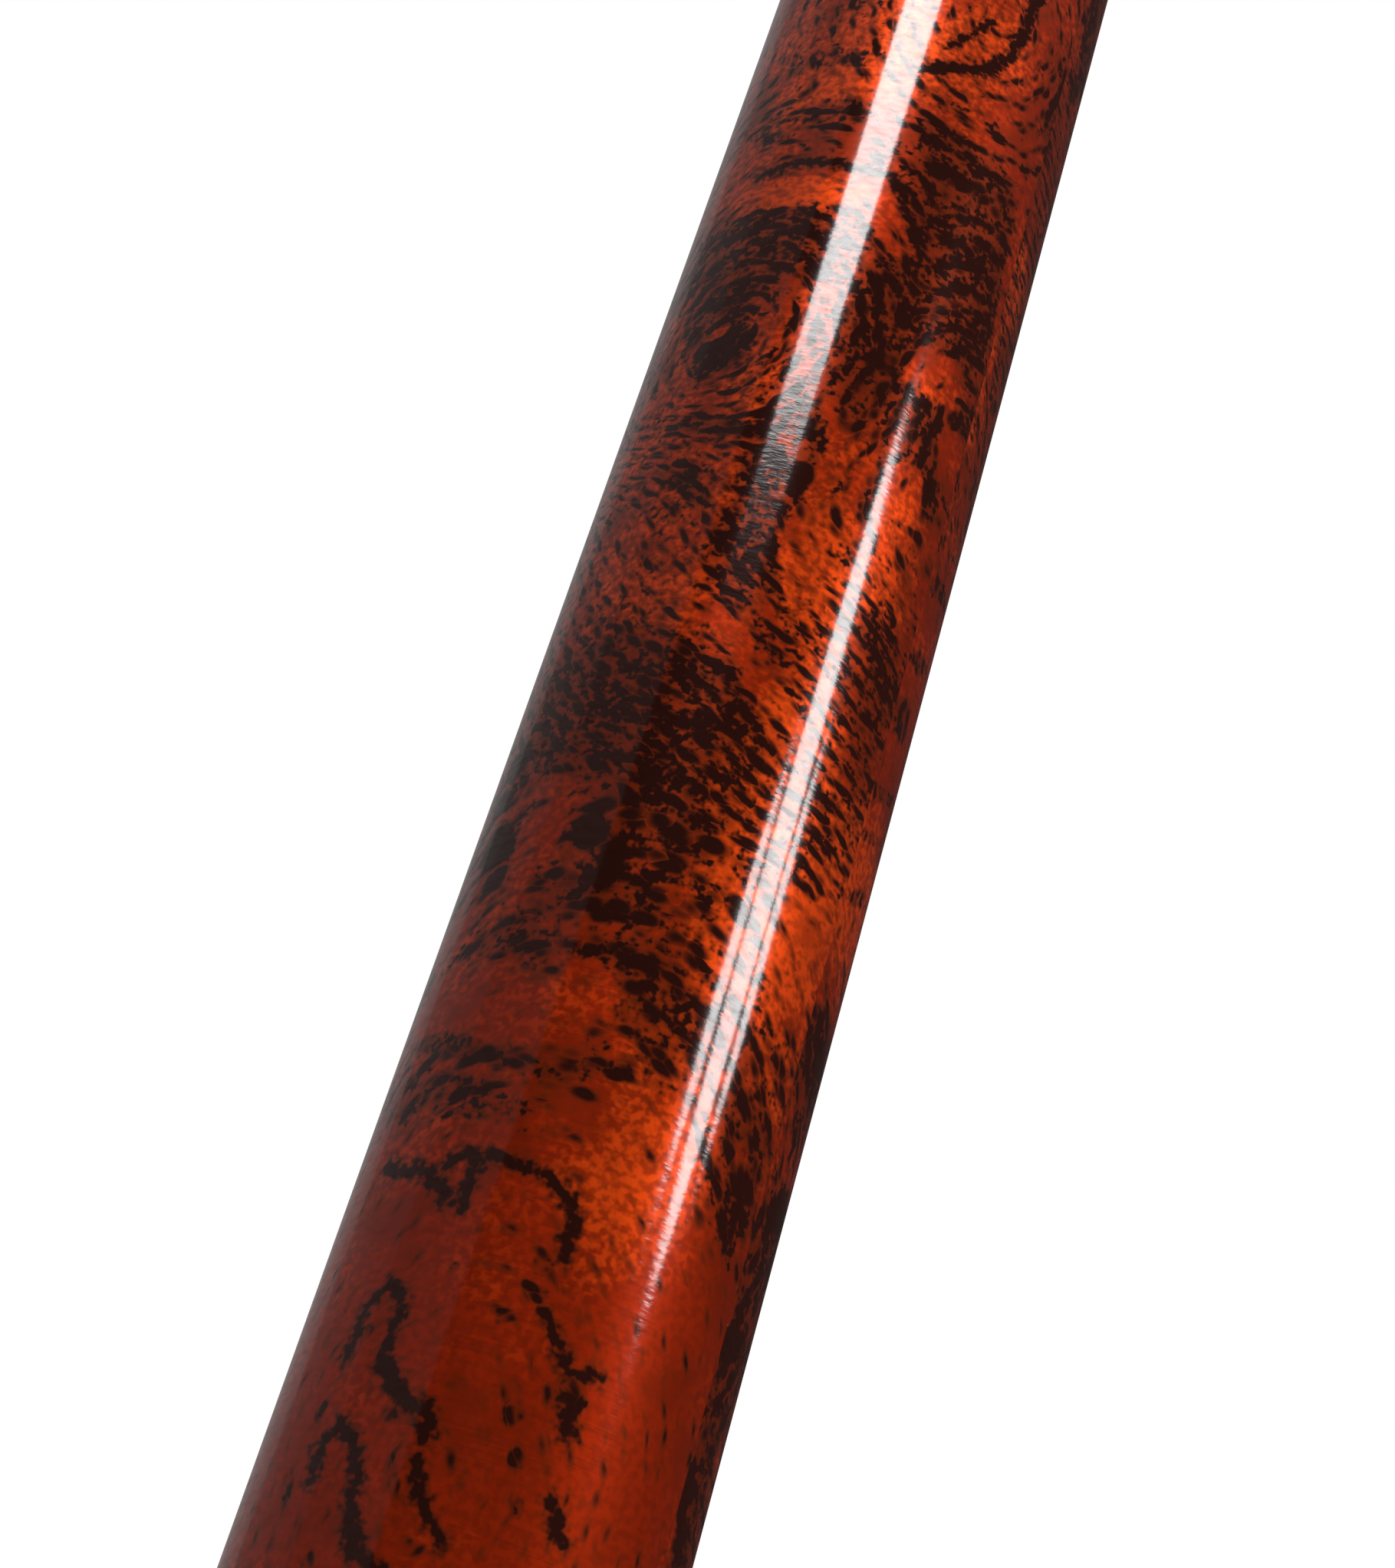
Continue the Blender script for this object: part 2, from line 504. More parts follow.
def makeBurlFigure():
    patch, stroke = makeBurlPatch(), makeBurlStroke()
    group, start, end = startGroup(
        "Burl Figure", {"Arc": 0.0, "Height": 0.0},
        ["Print", "Halftone", "Cloud", "Density", "Glow", "Grain"])
    (width, rise), base = burlPrint["cell"], burlPrint["cellBase"]
    copy = maths("ROUND")(over(start["Arc"], width))
    arc = timesPlus(copy, -width, start["Arc"])
    lifted = timesPlus(copy, -burlPrint["cellRise"], start["Height"])
    height = maths("WRAP")(lifted, base + rise, base)
    true = point(start["Arc"], start["Height"])
    # slow and quick wander of the outlines
    wandered = point(arc, height)
    for size, strength in (burlPrint["warp"], burlPrint["ragged"]):
        drift = centred(noiseAt(true, 1 / size, 1, out=1), (0.5, 0.5, 0.5))
        wandered = moved(wandered, stretched(drift, (2 * strength, 2 * strength, 0)))
    x = put("SeparateXYZ", {0: wandered})
    y = x.node.outputs[1]
    # darkness: a curve up the cell, then the patches
    density = put("FloatCurve", {"Value": over(minus(height, base), rise)})
    mapping = density.node.mapping
    mapping.use_clip = False
    curve = mapping.curves[0].points
    for index, level in enumerate(burlPrint["darkness"]):
        if index < 2:
            curve[index].location = level
        else:
            curve.new(*level)
    mapping.update()

    def addPatches(total, rows):
        for middleX, middleY, halfWidth, halfHeight, dark, *turns in rows:
            turn = math.radians(sum(turns))
            total = placeGroup(patch, {
                "X": x, "Y": y, "Middle X": middleX, "Middle Y": middleY, "Darkness": dark, "Sum": total,
                "Across X": math.cos(turn) / halfWidth, "Across Y": math.sin(turn) / halfWidth,
                "Along X": -math.sin(turn) / halfHeight, "Along Y": math.cos(turn) / halfHeight})["Sum"]
        return total

    glow = addPatches(0, burlPrint["glows"])
    density = addPatches(density, burlPrint["patches"])
    lightest, darkest = burlPrint["patchLimits"]
    density = addPatches(most(least(density, darkest), lightest), burlPrint["blots"])
    # strokes
    ink = -1
    for halfWidth, points in burlPrint["strokes"]:
        for (x0, y0), (x1, y1) in zip(points, points[1:]):
            ink = placeGroup(stroke, {
                "X": x, "Y": y, "From X": x0, "From Y": y0, "Run X": x1 - x0, "Run Y": y1 - y0,
                "Run Squared": (x1 - x0) ** 2 + (y1 - y0) ** 2, "Half Width": halfWidth, "Ink": ink})["Ink"]
    # rings that lead the streaks
    leads = []
    for rings in (burlPrint["ringsBelow"], burlPrint["ringsAbove"]):
        lead = 1000
        for middleX, middleY, stretch, offset in rings:
            across, along = minus(x, middleX), over(minus(y, middleY), stretch)
            reach = plus(root(bothOf(across, along, across, along)), offset)
            lead = maths("SMOOTH_MIN")(lead, reach, 2)
        leads.append(lead)
    lead = put("Mix", {0: softRamp(y, *burlPrint["ringsMeet"]), 2: leads[0], 3: leads[1]})

    # marks, one to a space: how far a point is from its middle, and how large it is
    def addMarks(vector, scale, randomness, spread, smallest, growth, **settings):
        spots = put("TexVoronoi", {"Vector": vector, "Scale": scale, "Randomness": randomness}, **settings)
        lot = put("SeparateColor", {0: spots.node.outputs["Color"]})
        return spots, timesPlus(density, growth, timesPlus(lot, spread, smallest))

    # short dashes along the rings, and round dots between them
    across, along = burlPrint["dash"]
    dashPlace = point(
        times(lead, 1 / across), times(start["Arc"], 1 / along), times(start["Height"], 1 / along))
    dashes, dashSize = addMarks(dashPlace, 1, *burlPrint["dashMarks"])
    rows = maths("SINE")(times(lead, 2 * math.pi / burlPrint["rowPitch"]))
    dashInk = minus(timesPlus(rows, burlPrint["rowStrength"], dashSize), dashes)
    dots, dotSize = addMarks(
        true, 1 / burlPrint["dotPitch"], *burlPrint["dotMarks"], voronoi_dimensions="2D")
    dotInk = minus(dotSize, dots)
    # joined, torn shapes where a noise passes a level that the darkness sets
    streak = noiseAt(dashPlace, 0.8, 1)
    stipple = noiseAt(true, 1 / burlPrint["stipple"], 1)
    mixed = put("Mix", {0: 0.5, 2: streak, 3: stipple})
    lift = timesPlus(density, 0.115, -0.098)
    solid = times(most(minus(density, 1), 0), 0.15)
    tone = plus(plus(lift, solid), minus(mixed, 0.5))
    hardShapes, hardMarks, hardStrokes = burlPrint["hardness"]
    inked = most(times(tone, hardShapes), times(dashInk, hardMarks))
    inked = most(inked, times(dotInk, hardMarks))
    torn = timesPlus(stipple, 1.2, minus(ink, 0.46))
    inked = most(inked, times(torn, hardStrokes))
    feed(end["Cloud"], noiseAt(true, 1 / burlPrint["cloud"], 5, 0.66))
    feed(end["Print"], softRamp(inked, -0.22, 0.52))
    feed(end["Halftone"], softRamp(inked, -0.8, 0.1))
    feed(end["Grain"], softRamp(stipple, 0.36, 0.66))
    feed(end["Density"], density)
    feed(end["Glow"], glow)
    return group


# printed colours: the orange ground deepens where the print is dense, and each mark has a soft brown rim
def inkColour(figure):
    lit = minus(plus(timesPlus(figure["Glow"], 0.45, figure["Cloud"]), 0.08), times(figure["Grain"], 0.18))
    ground = blendOf(softRamp(lit, 0.44, 1), burlPrint["deepOrange"], burlPrint["brightOrange"])
    deepened = softRamp(timesPlus(figure["Glow"], -0.5, figure["Density"]), -0.2, 1.1, 0, 0.75)
    deepened = most(deepened, times(figure["Grain"], 0.42))
    deepened = most(deepened, softRamp(figure["Cloud"], 0.5, 0.36, 0, 0.5))
    ground = blendOf(deepened, ground, burlPrint["deepRed"])
    halved = blendOf(times(figure["Halftone"], 0.6), ground, burlPrint["brown"])
    return blendOf(figure["Print"], halved, burlPrint["nearBlack"])


def makeBurlFinish():
    figureGroup = makeBurlFigure()
    shader = startMaterial("burl_print", coatWeight=1, coatRoughness=0.09, coatIor=1.6, specularIorLevel=0)
    # arc and height on the tube, in mm, cut open at the seam
    x = put("SeparateXYZ", {0: objectPlace()})
    y, z = x.node.outputs[1], x.node.outputs[2]
    turn = math.radians(180 - burlPrint["seamAngle"])
    sine = bothOf(x, y, math.cos(turn), -math.sin(turn))
    cosine = bothOf(y, x, -math.cos(turn), -math.sin(turn))
    arc = times(minus(maths("ARCTAN2")(sine, cosine), turn), burlPrint["tubeRadius"])
    height = timesPlus(z, 1 / mm, -burlPrint["heightZero"])
    figure = placeGroup(figureGroup, {"Arc": arc, "Height": height})
    # bare metal on the cut ends, in the holes and inside
    fromAxis = put("VectorMath", {0: point(x, y)}, "Value", operation="LENGTH")
    skin = (burlPrint["tubeRadius"] - burlPrint["filmDepth"]) * mm
    blur = burlPrint["filmBlur"] * mm
    bare = softRamp(fromAxis, skin + blur, skin - blur)
    feed(shader["Metallic"], most(ramp(figure["Print"], 0, 1, 0.52, 0), bare))
    # the clear coat: fine ripples round the tube
    ripple = noiseAt(point(times(arc, 0.9), times(height, 2.4)), 1, 3, 0.6)
    feed(shader["Coat Weight"], times(minus(1, bare), softRamp(ripple, 0.25, 0.6, 0.7, 1)))
    feed(shader["Coat Normal"], bumps(ripple, 0.006))
    # lines left round the tube by brushing, under the film
    brushed = noiseAt(point(times(arc, 0.12), times(height, 9)), 1, 2)
    colour = blendOf(bare, inkColour(figure), burlPrint["bareAluminium"])
    dress(shader, colour, ramp(brushed, 0.3, 0.7, 0.35, 0.47), brushed, 0.004)


makeBurlFinish()
print("stage: burl print made")


# Bronze anodised aluminium: satin, drawn lines along the tube, bright scratches where the nut slides
def makeBronze():
    shader, place = startMaterial("bronze_anodised", metallic=0.85), objectPlace()
    cloudy = maskOf(patchGroup, place, 45, 0.38, 0.66)
    colour = blendOf(cloudy, (0.066, 0.034, 0.021, 1), (0.042, 0.02, 0.013, 1))
    slid = softRamp(put("SeparateXYZ", {0: place}, 2), 0.21, 0.28, 0.12, 0.75)
    bright = times(maskOf(scratchGroup, place, (2.4, 2.4, 0.03), 0.018, 0.46), slid)
    lines = noiseAt(stretched(place, (2600, 2600, 12)), 1, 2)
    dress(shader, blendOf(bright, colour, (0.46, 0.4, 0.36, 1)), ramp(lines, 0.25, 0.75, 0.26, 0.42),
          minus(lines, bright), 0.006)


# Red-brown stained hardwood: rings and pores along the grip, under a gloss lacquer
def makeWood():
    shader = startMaterial("stained_hardwood", coatWeight=0.9, coatRoughness=0.09, ior=1.5)
    place = objectPlace()
    lengthened = stretched(centred(place, (0.02, 0.034, 0.865)), (0.16, 1, 1))
    rings = put("TexWave", {"Vector": lengthened, "Scale": 95, "Distortion": 5, "Detail": 3,
                            "Detail Scale": 1.3}, out=1, wave_type="RINGS", rings_direction="X")
    fibres = noiseAt(stretched(place, (130, 3200, 3200)), 1, 3, 0.6)
    pores = softRamp(noiseAt(stretched(place, (260, 2300, 2300)), 1, 1), 0.63, 0.7)
    stained = maskOf(patchGroup, lengthened, 9, 0.35, 0.7)
    light = blendOf(stained, (0.235, 0.062, 0.02, 1), (0.15, 0.034, 0.013, 1))
    grain = softRamp(timesPlus(fibres, 0.55, times(rings, 0.6)), 0.25, 0.85)
    colour = blendOf(grain, (0.07, 0.015, 0.008, 1), light)
    colour = blendOf(times(pores, 0.75), colour, (0.018, 0.006, 0.005, 1))
    dress(shader, colour, ramp(fibres, 0.2, 0.8, 0.3, 0.46), minus(times(fibres, 0.25), pores), 0.02)


# Polished brass: fine lines from the lathe, a little tarnish, brighter where hands rub it
def makeBrass():
    shader, place = startMaterial("brass", metallic=1), objectPlace()
    lines = noiseAt(stretched(place, (60, 60, 5200)), 1, 2)
    rubbed = maskOf(edgeGroup, place, 0.51, 0.56, 0.05)
    dull = times(maskOf(patchGroup, place, 7, 0.48, 0.72), minus(1, rubbed))
    scratched = maskOf(scratchGroup, place, (0.7, 0.7, 2.4), 0.012, 0.52)
    rough = timesPlus(dull, 0.16, ramp(lines, 0.25, 0.75, 0.13, 0.24))
    dress(shader, blendOf(times(dull, 0.7), (0.82, 0.59, 0.25, 1), (0.42, 0.25, 0.1, 1)),
          timesPlus(scratched, 0.12, rough), minus(lines, scratched), 0.004)


# Zinc-plated steel: pale, with a faint yellow cast in patches and fine scratches
def makeSteel():
    shader, place = startMaterial("bright_steel", metallic=1), objectPlace()
    cast = maskOf(patchGroup, place, 3, 0.42, 0.7)
    scratched = maskOf(scratchGroup, place, (1.5, 1.5, 1.5), 0.014, 0.5)
    fine = noiseAt(place, 2600, 2)
    dress(shader, blendOf(cast, (0.62, 0.63, 0.65, 1), (0.53, 0.5, 0.42, 1)),
          timesPlus(scratched, 0.15, ramp(fine, 0.3, 0.7, 0.22, 0.36)),
          minus(times(fine, 0.5), scratched), 0.006)


# Moulded black nylon: fine grained skin, edges rubbed grey, dust in the hollows
def makeBlackNylon():
    shader, place = startMaterial("black_nylon", ior=1.53), objectPlace()
    worn = maskOf(edgeGroup, place, 0.53, 0.6, 0.1)
    dusty = maskOf(patchGroup, place, 6, 0.52, 0.8)
    colour = blendOf(times(dusty, 0.45), (0.019, 0.019, 0.021, 1), (0.085, 0.08, 0.074, 1))
    colour = blendOf(times(worn, 0.6), colour, (0.105, 0.105, 0.11, 1))
    grain = noiseAt(place, 3400, 2)
    dress(shader, colour, timesPlus(dusty, 0.12, ramp(grain, 0.3, 0.7, 0.4, 0.52)), grain, 0.02)


# Natural nylon: off-white and a little see-through, yellowed in patches
def makePaleNylon():
    shader = startMaterial("pale_nylon", ior=1.53, subsurfaceWeight=0.2, subsurfaceScale=0.002)
    place = objectPlace()
    yellowed = maskOf(patchGroup, place, 8, 0.4, 0.75)
    scuffed = maskOf(scratchGroup, place, (0.8, 0.8, 1.6), 0.02, 0.48)
    colour = blendOf(yellowed, (0.74, 0.72, 0.66, 1), (0.64, 0.58, 0.46, 1))
    colour = blendOf(times(scuffed, 0.35), colour, (0.38, 0.35, 0.3, 1))
    grain = noiseAt(place, 1900, 2)
    dress(shader, colour, ramp(grain, 0.3, 0.7, 0.36, 0.5), minus(grain, scuffed), 0.01)


# Black rubber: matte and finely grained, dusty, rubbed grey-brown round the sole
def makeRubber():
    shader, place = startMaterial("black_rubber", ior=1.5), objectPlace()
    low = softRamp(put("SeparateXYZ", {0: place}, 2), 0.014, 0, 0.12, 0.85)
    dusty = times(maskOf(patchGroup, place, 9, 0.38, 0.75), low)
    soiled = most(dusty, times(maskOf(edgeGroup, place, 0.52, 0.58, 0.12), 0.5))
    colour = blendOf(soiled, (0.017, 0.017, 0.018, 1), (0.115, 0.1, 0.082, 1))
    grain = noiseAt(place, 1500, 4, 0.65)
    dress(shader, colour, ramp(grain, 0.3, 0.7, 0.62, 0.8), grain, 0.05)


for makeFinish in (makeBronze, makeWood, makeBrass, makeSteel, makeBlackNylon, makePaleNylon, makeRubber):
    makeFinish()
print("stage: other finishes made")


# lowest and highest point of a CAD node, in mm
def levels(node):
    low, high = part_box(node)
    return low.z / mm, high.z / mm


def middleHeight(node):
    return sum(levels(node)) / 2


# Tubes
upperTube = {
    "radius": 11,
    "wall": 1.2,
    "edge": 0.3,
    "sides": 256,
    "ringPitch": 12,
    "holeRadius": 4.05,
    "holePitch": 25,
    "holesEachWay": 3,  # above and below the one that the button sits in
    "rivetHoleRadius": 1.9,
    "pinHoleRadius": 1.8,
}
lowerTube = {"radius": 9.5, "wall": 1.2, "edge": 0.3, "sides": 192, "ringPitch": 12, "holeRadius": 4.05}


# a tube with rings of points up its outside, so that shading stays even round the holes
def buildTube(name, values, node):
    radius, bore, edge = values["radius"], values["radius"] - values["wall"], values["edge"]
    base, top = levels(node)
    rings = round((top - base) / values["ringPitch"])
    corners = [(radius, base, edge)]
    corners += [(radius, base + (top - base) * index / rings, 0) for index in range(1, rings)]
    corners += [(radius, top, edge), (bore, top, edge), (bore, base, edge)]
    return turnPiece(name, soften(corners, 3), values["sides"])


def joinCutters(cutters):
    takeUp(cutters[0])
    for cutter in cutters:
        cutter.select_set(True)
    bpy.ops.object.join()
    return bpy.context.object


def rearDrill(values, height):
    radius = values["radius"]
    return addRod(values["holeRadius"], (-radius - past, 0, height), (-radius / 2, 0, height), 64)


def sideDrill(radius, inner, outer, height):
    return addRod(radius, (0, inner, height), (0, outer, height), 32)


def buildUpperTube():
    tube = buildTube("burl_tube", upperTube, "upper_tube")
    radius, each = upperTube["radius"], upperTube["holesEachWay"]
    drills = [rearDrill(upperTube, middleHeight("snap_button") + index * upperTube["holePitch"])
              for index in range(-each, each + 1)]
    for side in (-1, 1):
        for drill, node in (("rivetHoleRadius", "sleeve_rivet_front"), ("pinHoleRadius", "plug_pin_front")):
            inner, outer = side * radius / 2, side * (radius + past)
            drills.append(sideDrill(upperTube[drill], inner, outer, middleHeight(node)))
    cutAway(tube, joinCutters(drills))
    finishPiece(tube, "upper_shaft", "burl_print", "upper_tube")


def buildLowerTube():
    tube = buildTube("bronze_tube", lowerTube, "lower_tube")
    cutAway(tube, rearDrill(lowerTube, middleHeight("snap_button")))
    finishPiece(tube, "lower_shaft", "bronze_anodised", "lower_tube")


buildUpperTube()
buildLowerTube()
print("stage: tubes made")


# Rubber tip
rubberTip = {
    "soleRadius": 18.85,
    "soleThickness": 11,
    "rim": 5,
    "edge": 1.2,
    "bodyRadius": 13.6,
    "flareHeight": 11,
    "flareSteps": 10,
    "plainHeight": 6,
    "ribs": 3,
    "ribPitch": 7,
    "ribHeight": 3,
    "ribProud": 1,
    "ribEdge": 0.5,
    "mouthRadius": 12.6,
    "bore": 9.8,
    "grooves": 3,
    "grooveWidth": 2,
    "grooveDepth": 1.5,
    "grooveEdges": (0.3, 0.4),  # at the mouth and at the floor
    "padRadius": 4,
}


def buildRubberTip():
    tip = rubberTip
    top = levels("rubber_tip")[1]
    sole, body, edge = tip["soleRadius"], tip["bodyRadius"], tip["edge"]
    deep, lip, fillet = tip["grooveDepth"], *tip["grooveEdges"]
    corners = []
    pitch = (sole - edge - tip["padRadius"]) / tip["grooves"]
    for index in range(tip["grooves"]):
        start = tip["padRadius"] + index * pitch
        end = start + tip["grooveWidth"]
        corners += [(start, 0, lip if index else 0), (start, deep, fillet)]
        corners += [(end, deep, fillet), (end, 0, lip)]
    flareBase = tip["rim"] + edge
    corners += [(sole, 0, edge), (sole, flareBase, edge)]
    for step in range(1, tip["flareSteps"] + 1):
        share = step / tip["flareSteps"]
        corners.append((sole - edge - (sole - edge - body) * (1 - (1 - share) ** 2),
                        flareBase + tip["flareHeight"] * share, 0))
    ribBase = flareBase + tip["flareHeight"] + tip["plainHeight"]
    slope, crest = tip["ribHeight"] / 4, body + tip["ribProud"]
    for index in range(tip["ribs"]):
        low = ribBase + index * tip["ribPitch"]
        for reach, rise in ((body, 0), (crest, slope), (crest, slope * 3), (body, slope * 4)):
            corners.append((reach, low + rise, tip["ribEdge"]))
    corners += [(tip["mouthRadius"], top, 0.9), (tip["bore"], top, 0.7),
                (tip["bore"], tip["soleThickness"], 0), (0, tip["soleThickness"], 0)]
    piece = turnPiece("ferrule", soften(corners), 128, joined=False)
    finishPiece(piece, "lower_shaft", "black_rubber", "rubber_tip")


buildRubberTip()
print("stage: rubber tip made")


# Lock nut
lockNut = {
    "radius": 14.9,
    "bore": 12.3,
    "lipBore": 10.1,
    "lipHeight": 4,
    "chamfer": 1.6,
    "flutes": 16,
    "fluteDepth": 0.9,
    "fluteRadius": 2.2,
    "fluteEnds": 2.5,  # plain height left above and below the flutes
}


# a round-ended cutter standing upright, with a small flat at each end
def addCapsule(radius, base, top, steps=5, flat=0.12):
    outline = []
    for step in range(steps + 1):
        turn = math.pi / 2 * (flat + (1 - flat) * step / steps)
        outline.append((radius * math.sin(turn), base + radius * (1 - math.cos(turn))))
    outline += [(reach, base + top - height) for reach, height in reversed(outline)]
    return turnPiece("capsule", outline, 24, joined=False)


def buildLockNut():
    nut = lockNut
    base, top = levels("lock_nut")
    radius, bore, chamfer = nut["radius"], nut["bore"], nut["chamfer"]
    lip = base + nut["lipHeight"]
    corners = [
        (radius - chamfer, base, 0.5), (radius, base + chamfer, 0.7), (radius, top - chamfer, 0.7),
        (radius - chamfer, top, 0.5), (bore, top, 0.4), (bore, lip, 0.3), (nut["lipBore"], lip, 0.3),
        (nut["lipBore"], base, 0.4)]
    piece = turnPiece("fluted_nut", soften(corners), 192)
    reach = radius + nut["fluteRadius"] - nut["fluteDepth"]
    for index in range(nut["flutes"]):
        cutter = addCapsule(nut["fluteRadius"], base + nut["fluteEnds"], top - nut["fluteEnds"])
        turn = 2 * math.pi * (index + 0.5) / nut["flutes"]
        layPiece(cutter, (0, 0, turn), (reach * math.cos(turn), reach * math.sin(turn), 0))
        cutAway(piece, cutter)
    finishPiece(piece, "lock_nut", "black_nylon", "lock_nut")


buildLockNut()
print("stage: lock nut made")


# Locking sleeve with its thread and four fingers
lockingSleeve = {
    "radius": 13.3,
    "bore": 11.3,
    "edge": 1,
    "floor": 1.4,  # under the upper tube's end
    "fingerBore": 9.8,
    "threadRoot": 11.1,
    "threadDepth": 0.7,
    "threadPitch": 2.5,
    "threadLength": 18,
    "threadCrest": (0.42, 0.58),  # where the crest starts and ends, as shares of the pitch
    "slotWidth": 1.6,
    "slotEnd": 5,
    "rivetHoleRadius": 1.9,
}


def buildLockingSleeve():
    sleeve = lockingSleeve
    base, top = levels("locking_sleeve")
    valley, pitch, finger = sleeve["threadRoot"], sleeve["threadPitch"], sleeve["fingerBore"]
    crest = valley + sleeve["threadDepth"]
    shoulder = base + sleeve["threadLength"]
    seat = shoulder + sleeve["floor"]
    corners = [(finger, base, 0), (valley - 0.6, base, 0.2), (valley, base + 0.7, 0.2)]
    for index in range(1, int(sleeve["threadLength"] / pitch)):
        height = base + pitch * index
        corners += [(valley, height, 0.2)]
        corners += [(crest, height + pitch * share, 0.15) for share in sleeve["threadCrest"]]
    corners += [
        (valley, shoulder, 0.2), (sleeve["radius"], shoulder, sleeve["edge"]),
        (sleeve["radius"], top, sleeve["edge"]), (sleeve["bore"], top, 0.3), (sleeve["bore"], seat, 0),
        (finger, seat, 0)]
    piece = turnPiece("threaded_sleeve", soften(corners, 3), 144)
    low, high = base - 1, shoulder - sleeve["slotEnd"]
    for turn in (math.pi / 4, -math.pi / 4):
        slot = (2 * crest + past, sleeve["slotWidth"], high - low)
        cutAway(piece, addBlock(slot, (0, 0, (low + high) / 2), turn))
    height = middleHeight("sleeve_rivet_front")
    for side in (-1, 1):
        inner, outer = side * sleeve["bore"] * 0.7, side * (sleeve["radius"] + 1)
        cutAway(piece, sideDrill(sleeve["rivetHoleRadius"], inner, outer, height))
    finishPiece(piece, "upper_shaft", "black_nylon", "locking_sleeve")


# Rivets that hold the sleeve: domed heads, hollow in the middle where the stem broke off
rivet = {
    "radius": 1.6,
    "tail": 9.98,
    "seat": 13.6,
    "headRadius": 2.8,
    "headHeight": 0.9,
    "headEdge": 0.35,
    # the dome and the hollow in it: radius, depth under the top, fillet
    "dome": [(2.1, 0.12, 0.5), (1.2, 0, 0.15), (0.95, 0.05, 0.05), (0.95, 0.5, 0.1), (0.45, 0.38, 0.2),
             (0, 0.32, 0)],
}


def buildRivets():
    seat, head, top = rivet["seat"], rivet["headRadius"], rivet["seat"] + rivet["headHeight"]
    corners = [(rivet["radius"], rivet["tail"], 0), (rivet["radius"], seat, 0), (head, seat, 0.1),
               (head, seat + rivet["headEdge"], 0.3)]
    corners += [(reach, top - depth, fillet) for reach, depth, fillet in rivet["dome"]]
    for name, side in (("front", -1), ("back", 1)):
        piece = turnPiece(f"hollow_rivet_{name}", soften(corners), 48, joined=False)
        layPiece(piece, (-side * math.pi / 2, 0, 0), (0, 0, middleHeight("sleeve_rivet_front")))
        finishPiece(piece, "upper_shaft", "bright_steel", f"sleeve_rivet_{name}")


buildLockingSleeve()
buildRivets()
print("stage: locking sleeve and rivets made")


# Friction ring
frictionRing = {"bore": 9.8, "radius": 12, "bevel": 0.73, "split": 2}


def buildFrictionRing():
    base, top = levels("friction_ring")
    bore, radius, bevel = frictionRing["bore"], frictionRing["radius"], frictionRing["bevel"]
    corners = [(bore, base, 0.3), (radius, base, 0.3), (radius, top - bevel, 0.2),
               (radius - bevel, top, 0.2), (bore, top, 0.3)]
    piece = turnPiece("split_ring", soften(corners), 128)
    split, middle = frictionRing["split"], ((bore + radius) / 2, 0, (base + top) / 2)
    cutAway(piece, addBlock((6, split, top - base + past), middle))
    finishPiece(piece, "friction_ring", "pale_nylon", "friction_ring")


buildFrictionRing()
print("stage: friction ring made")


# Snap button
snapButton = {
    "tailRadius": 1.5,
    "tailEnd": 3.24,  # distances from the shaft's axis
    "flangeBack": 5.64,
    "flangeFace": 6.64,
    "flangeRadius": 4.55,
    "radius": 3.75,
    "tip": 14,
    "crown": 2.4,
    "crownSteps": 9,
}


def buildSnapButton():
    button = snapButton
    radius, flange = button["radius"], button["flangeRadius"]
    back, face = button["flangeBack"], button["flangeFace"]
    corners = [(button["tailRadius"], button["tailEnd"], 0), (button["tailRadius"], back, 0.2),
               (flange, back, 0.2), (flange, face, 0.2), (radius, face, 0.15)]
    for step in range(button["crownSteps"] + 1):
        turn = math.pi / 2 * step / button["crownSteps"]
        corners.append((radius * math.cos(turn), button["tip"] + button["crown"] * (math.sin(turn) - 1), 0))
    piece = turnPiece("domed_button", soften(corners), 64, joined=False)
    layPiece(piece, (0, -math.pi / 2, 0), (0, 0, middleHeight("snap_button")))
    finishPiece(piece, "snap_button", "bright_steel", "snap_button")


# Spring clip behind the button: a strip bent to a V
springClip = {
    "thickness": 0.8,
    "width": 7,
    "near": -4.94,  # middle of the leg that carries the button
    "far": 6.83,
    "legEnd": 14,  # straight end of each leg
    "bendRadius": 2.2,
    "bendSteps": 14,
    "cornerRadius": 1.4,
    "holeRadius": 1.8,
}


